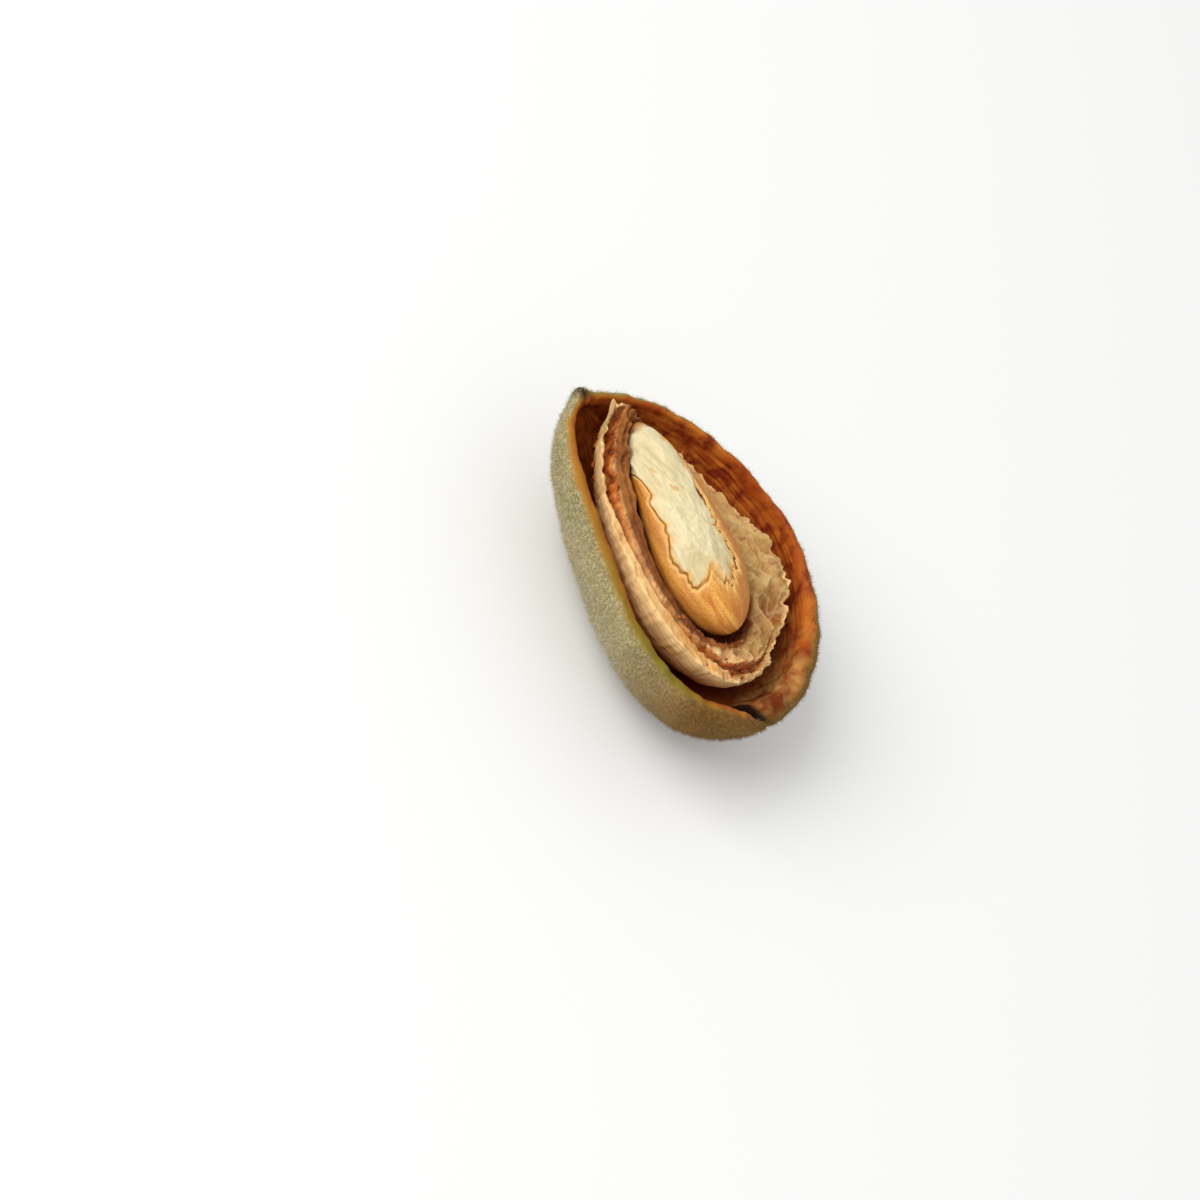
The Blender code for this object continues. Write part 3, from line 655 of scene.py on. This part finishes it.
shell_form, shell_marks = shaped_sphere(SHELL_DIVISIONS, shell_surface)
shell = add_piece("half_shell", shell_form, shell_marks, shell_material)
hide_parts("shell")


# Splinters and crumbs: woody fibres that stick out of the shell's torn rim, and bits of it that lie in the
# channel at the stem end. They came off as the shell broke.

SPLINTER_COUNT = 900
SPLINTER_LENGTH = (0.25 * MM, 0.9 * MM)
SPLINTER_WIDTH = (0.015 * MM, 0.04 * MM)
CRUMB_COUNT = 40
CRUMB_SIZE = (0.12 * MM, 0.38 * MM)

shell_spots = np.array([vertex.co for vertex in shell.data.vertices])
odds = shell_marks["sponge"] + shell_marks["torn_edge"]
chosen = random.choice(len(odds), SPLINTER_COUNT, p=odds / odds.sum())
roots = shell_spots[chosen]
ways = random.normal(0.0, 0.5, (SPLINTER_COUNT, 3)) + [0.0, 0.5, 0.7]
ways /= np.linalg.norm(ways, axis=1)[:, None]
lengths = random.uniform(*SPLINTER_LENGTH, (SPLINTER_COUNT, 1))
widths = random.uniform(*SPLINTER_WIDTH, (SPLINTER_COUNT, 1))

splinter_material, tree, surface = new_material("torn_shell_fibre")
tone = add_node(tree, "Attribute", attribute_name="tone").outputs["Fac"]
colour = add_node(tree, "Mix", {0: tone, 6: linear("#A8591C"), 7: linear("#E6BE80")}, data_type="RGBA").outputs[2]
tree.links.new(colour, surface.inputs["Base Color"])
surface.inputs["Roughness"].default_value = 0.7
add_needles("shell_splinters", roots, ways, lengths, widths, splinter_material)

odds = shell_marks["sponge"] * shell_marks["stem_end"]
chosen = random.choice(len(odds), CRUMB_COUNT, p=odds / odds.sum())
crumbs = bmesh.new()
for spot in shell_spots[chosen]:
    size = random.uniform(*CRUMB_SIZE)
    made = bmesh.ops.create_icosphere(crumbs, subdivisions=2, radius=1.0)["verts"]
    turn = Matrix.Rotation(random.uniform(0, np.pi), 3, random.normal(size=3))
    flat = random.uniform(0.4, 0.8, 3)
    for vertex in made:
        bump = 1 + 0.7 * noise.noise(vertex.co * 1.3 + Vector(spot) / MM)
        vertex.co = Vector(spot) + turn @ (Vector(flat * vertex.co) * size * bump)
add_piece("shell_crumbs", crumbs, {}, splinter_material)


# The kernel: the seed's dense cream flesh, cut and scraped where the skin came off, in the skin's cup.

KERNEL_CENTRE = np.array([2.15, 2.65, -0.1]) * MM
KERNEL_TURN = 12.0
KERNEL_REACH = (13.1 * MM, 11.9 * MM)
KERNEL_WIDTHS = np.array([3.4, 4.2, 4.4, 5.5, 6.1, 6.4]) * MM
KERNEL_THICKNESS_TO_WIDTH = 0.68
KERNEL_INSET = 0.45 * MM
SKIN_TORN_TO = [104, 88, 62, 48, 40, 33, 27, 24, 28, 38, 34, 36, 33, 35, 37, 50, 60, 68, 62, 72, 72, 108, 116, 112]
KERNEL_DIVISIONS = (75, 40)


def kernel_body(towards, inset):
    body = egg(towards, KERNEL_WIDTHS, KERNEL_WIDTHS, KERNEL_REACH, KERNEL_THICKNESS_TO_WIDTH, inset)
    return placed(body, KERNEL_CENTRE, KERNEL_TURN)


def kernel_fibres(points, girth, stretch):
    """Places measured along the seed's grain, which runs from end to end over its crown."""
    x, y, z = (points - KERNEL_CENTRE).T
    return np.stack([np.arctan2(x, z + 2 * MM) * girth, y / stretch, np.hypot(x, z) / stretch], axis=-1)


def torn_edge_dip(around):
    """How far below the level the skin's torn edge lies."""
    notches = 3.0 * uneven(on_rim(around, 0 * around, 1, 0), 2.5 * MM, 4)
    return np.radians(through_loop(SKIN_TORN_TO, around) + 4 * notches - 90.0)


def kernel_surface(around, share):
    dip = np.pi * (0.5 - share)
    outwards = direction(around, dip)
    past_edge = dip - torn_edge_dip(around)
    bare = 1 - rise(past_edge, -0.08, -0.005)
    inset = KERNEL_INSET * (1 - bare) + 0.1 * MM
    points = kernel_body(outwards, 0.0) - outwards * inset[:, None]
    fibres = kernel_fibres(points, 4 * MM, 3)
    scraped = 1 - 3 * np.abs(uneven(fibres, 2.2 * MM, 5))
    points += outwards * (0.24 * MM * scraped * bare + 0.06 * MM * uneven(points, 0.5 * MM))[:, None]
    tipward = rise(points[:, 1], 14.3 * MM, 15.3 * MM)
    golden = rise(past_edge + 0.06 * uneven(points, 1.2 * MM), -0.22, 0.0)
    marks = {
        "scraped": np.clip(0.5 + 0.5 * scraped, 0, 1),
        "golden": golden,
        "tip": tipward,
        "fibres": fibres,
    }
    return points, marks


# Raw almond flesh: dense, waxy and slightly see-through, so it gets a soft shine and a little light inside it.
flesh_material, tree, surface = new_material("almond_flesh")
place = add_node(tree, "TexCoord").outputs["Object"]
fibres = add_node(tree, "Attribute", attribute_name="fibres").outputs["Vector"]
scraped = add_node(tree, "Attribute", attribute_name="scraped").outputs["Fac"]
golden = add_node(tree, "Attribute", attribute_name="golden").outputs["Fac"]
tip = add_node(tree, "Attribute", attribute_name="tip").outputs["Fac"]
colour = add_node(
    tree, "Mix", {0: scraped, 6: linear("#D4C292"), 7: linear("#E0D2A8")}, data_type="RGBA"
).outputs[2]
cloud = add_node(tree, "TexNoise", {"Vector": fibres, "Scale": 1 / (1.5 * MM), "Detail": 3.0}).outputs["Fac"]
cloud = add_node(tree, "MapRange", {"Value": cloud, "From Min": 0.45, "From Max": 0.7}).outputs["Result"]
colour = add_node(tree, "Mix", {0: cloud, 6: colour, 7: linear("#DCCC9C")}, data_type="RGBA").outputs[2]
fleck = add_node(tree, "TexNoise", {"Vector": fibres, "Scale": 1 / (0.9 * MM), "Detail": 3.0}).outputs["Fac"]
fleck = add_node(
    tree, "MapRange", {"Value": fleck, "From Min": 0.66, "From Max": 0.7, "To Max": 0.7}
).outputs["Result"]
colour = add_node(tree, "Mix", {0: fleck, 6: colour, 7: linear("#D2A050")}, data_type="RGBA").outputs[2]
colour = add_node(tree, "Mix", {0: golden, 6: colour, 7: linear("#DFA44C")}, data_type="RGBA").outputs[2]
colour = add_node(tree, "Mix", {0: tip, 6: colour, 7: linear("#B87A38")}, data_type="RGBA").outputs[2]
tree.links.new(colour, surface.inputs["Base Color"])
shine = add_node(tree, "TexNoise", {"Vector": place, "Scale": 1 / (0.6 * MM), "Detail": 3.0}).outputs["Fac"]
roughness = add_node(tree, "MapRange", {"Value": shine, "To Min": 0.4, "To Max": 0.62}).outputs["Result"]
tree.links.new(roughness, surface.inputs["Roughness"])
bump = add_node(tree, "Bump", {"Height": shine, "Distance": 0.06 * MM, "Strength": 0.6})
tree.links.new(bump.outputs["Normal"], surface.inputs["Normal"])
surface.inputs["Subsurface Weight"].default_value = 0.25
surface.inputs["Subsurface Radius"].default_value = (1.0, 0.7, 0.4)
surface.inputs["Subsurface Scale"].default_value = 0.8 * MM

kernel_form, kernel_marks = shaped_sphere(KERNEL_DIVISIONS, kernel_surface)
kernel = add_piece("kernel_flesh", kernel_form, kernel_marks, flesh_material)
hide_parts("kernel")


# The kernel's skin: a thin golden-brown coat, finely grained from end to end, torn off the crown of the seed.
# What is left of it is a cup with a ragged edge.

SKIN_THICKNESS = 0.3 * MM
SKIN_ZONES = (0.48, 0.56)
SKIN_DIVISIONS = (105, 50)


def skin_surface(around, share):
    edge_dip = torn_edge_dip(around)
    outer_dip, inner_dip, across = cup_walls(share, SKIN_ZONES, edge_dip)
    outwards = direction(around, outer_dip)
    outside = kernel_body(outwards, 0.0)
    inside = kernel_body(direction(around, inner_dip), SKIN_THICKNESS)
    points = between(outside, inside, across)
    fibres = kernel_fibres(points, 4 * MM, 8)
    on_top = 1 - rise(across, 0.0, 1.0)
    wrinkles = 0.05 * MM * uneven(fibres, 0.6 * MM, 4) + 0.04 * MM * uneven(points, 2 * MM)
    points += outwards * (wrinkles * on_top)[:, None]
    to_edge = outer_dip - edge_dip
    points -= outwards * (0.12 * MM * (1 - rise(to_edge, 0.0, 0.08)) * on_top)[:, None]
    marks = {"edge": 1 - rise(to_edge, 0.0, 0.10), "near": 0.6 * (1 - rise(to_edge, 0.05, 0.35)), "fibres": fibres}
    return points, marks


# Dry almond skin: papery and dull gold, with rows of fine dark scales along its grain.
skin_material, tree, surface = new_material("almond_skin")
fibres = add_node(tree, "Attribute", attribute_name="fibres").outputs["Vector"]
torn_edge = add_node(tree, "Attribute", attribute_name="edge").outputs["Fac"]
near_edge = add_node(tree, "Attribute", attribute_name="near").outputs["Fac"]
place = add_node(tree, "TexCoord").outputs["Object"]
streak = add_node(tree, "TexNoise", {"Vector": fibres, "Scale": 1 / (0.6 * MM), "Detail": 5.0}).outputs["Fac"]
streak = add_node(tree, "MapRange", {"Value": streak, "From Min": 0.42, "From Max": 0.58}).outputs["Result"]
colour = add_node(tree, "Mix", {0: streak, 6: linear("#CC7A24"), 7: linear("#F6B452")}, data_type="RGBA").outputs[2]
colour = add_node(tree, "Mix", {0: near_edge, 6: colour, 7: linear("#E8A850")}, data_type="RGBA").outputs[2]
bands = add_node(tree, "TexNoise", {"Vector": fibres, "Scale": 1 / (2.2 * MM), "Detail": 4.0}).outputs["Fac"]
bands = add_node(
    tree, "MapRange", {"Value": bands, "From Min": 0.44, "From Max": 0.58, "To Max": 0.8}
).outputs["Result"]
colour = add_node(tree, "Mix", {0: bands, 6: colour, 7: linear("#C67C2C")}, data_type="RGBA").outputs[2]
scale = add_node(tree, "TexNoise", {"Vector": place, "Scale": 1 / (0.15 * MM), "Detail": 3.0}).outputs["Fac"]
scale = add_node(
    tree, "MapRange", {"Value": scale, "From Min": 0.48, "From Max": 0.7, "To Max": 0.7}
).outputs["Result"]
colour = add_node(tree, "Mix", {0: scale, 6: colour, 7: linear("#A5621C")}, data_type="RGBA").outputs[2]
colour = add_node(tree, "Mix", {0: torn_edge, 6: colour, 7: linear("#E4B468")}, data_type="RGBA").outputs[2]
tree.links.new(colour, surface.inputs["Base Color"])
roughness = add_node(tree, "MapRange", {"Value": streak, "To Min": 0.5, "To Max": 0.68}).outputs["Result"]
tree.links.new(roughness, surface.inputs["Roughness"])
bump = add_node(tree, "Bump", {"Height": streak, "Distance": 0.05 * MM, "Strength": 0.6})
tree.links.new(bump.outputs["Normal"], surface.inputs["Normal"])

skin_form, skin_marks = shaped_sphere(SKIN_DIVISIONS, skin_surface)
skin = add_piece("kernel_skin_cup", skin_form, skin_marks, skin_material)
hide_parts("kernel_skin")


# The floor, the light and the camera: a plain white table, one large soft lamp high on the camera's left, a
# bright room round it, and a camera that looks down on the open face.

FLOOR_SIDE = 6.0
KEY_AT = (-0.55, 0.55, 0.62)
KEY_SIDE = 0.7
KEY_POWER = 7.8
ROOM_LIGHT = 0.65
CAMERA_AT = (-249.464 * MM, -13.782 * MM, 266.624 * MM)
CAMERA_TURN = tuple(np.radians([27.986, -33.740, -40.344]))
CAMERA_LENS = 100.0

floor_form = bmesh.new()
bmesh.ops.create_grid(floor_form, x_segments=1, y_segments=1, size=FLOOR_SIDE / 2)
floor_mesh = bpy.data.meshes.new("table_top")
floor_form.to_mesh(floor_mesh)
floor_form.free()
floor_material, tree, surface = new_material("white_table")
surface.inputs["Base Color"].default_value = linear("#F7F7F6")
surface.inputs["Roughness"].default_value = 0.6
floor_mesh.materials.append(floor_material)
floor = bpy.data.objects.new("table_top", floor_mesh)
bpy.context.scene.collection.objects.link(floor)

key = bpy.data.lights.new("window", "AREA")
key.size = KEY_SIDE
key.energy = KEY_POWER
lamp = bpy.data.objects.new("window", key)
lamp.location = KEY_AT
lamp.rotation_euler = (-lamp.location).to_track_quat("-Z", "Y").to_euler()
bpy.context.scene.collection.objects.link(lamp)

room = bpy.data.worlds.new("room")
room.use_nodes = True
room.node_tree.nodes["Background"].inputs["Color"].default_value = (1.0, 1.0, 1.0, 1.0)
room.node_tree.nodes["Background"].inputs["Strength"].default_value = ROOM_LIGHT
bpy.context.scene.world = room
bpy.context.scene.view_settings.view_transform = "Standard"

lens = bpy.data.cameras.new("camera")
lens.lens = CAMERA_LENS
camera = bpy.data.objects.new("camera", lens)
camera.location = CAMERA_AT
camera.rotation_euler = CAMERA_TURN
bpy.context.scene.collection.objects.link(camera)
bpy.context.scene.camera = camera
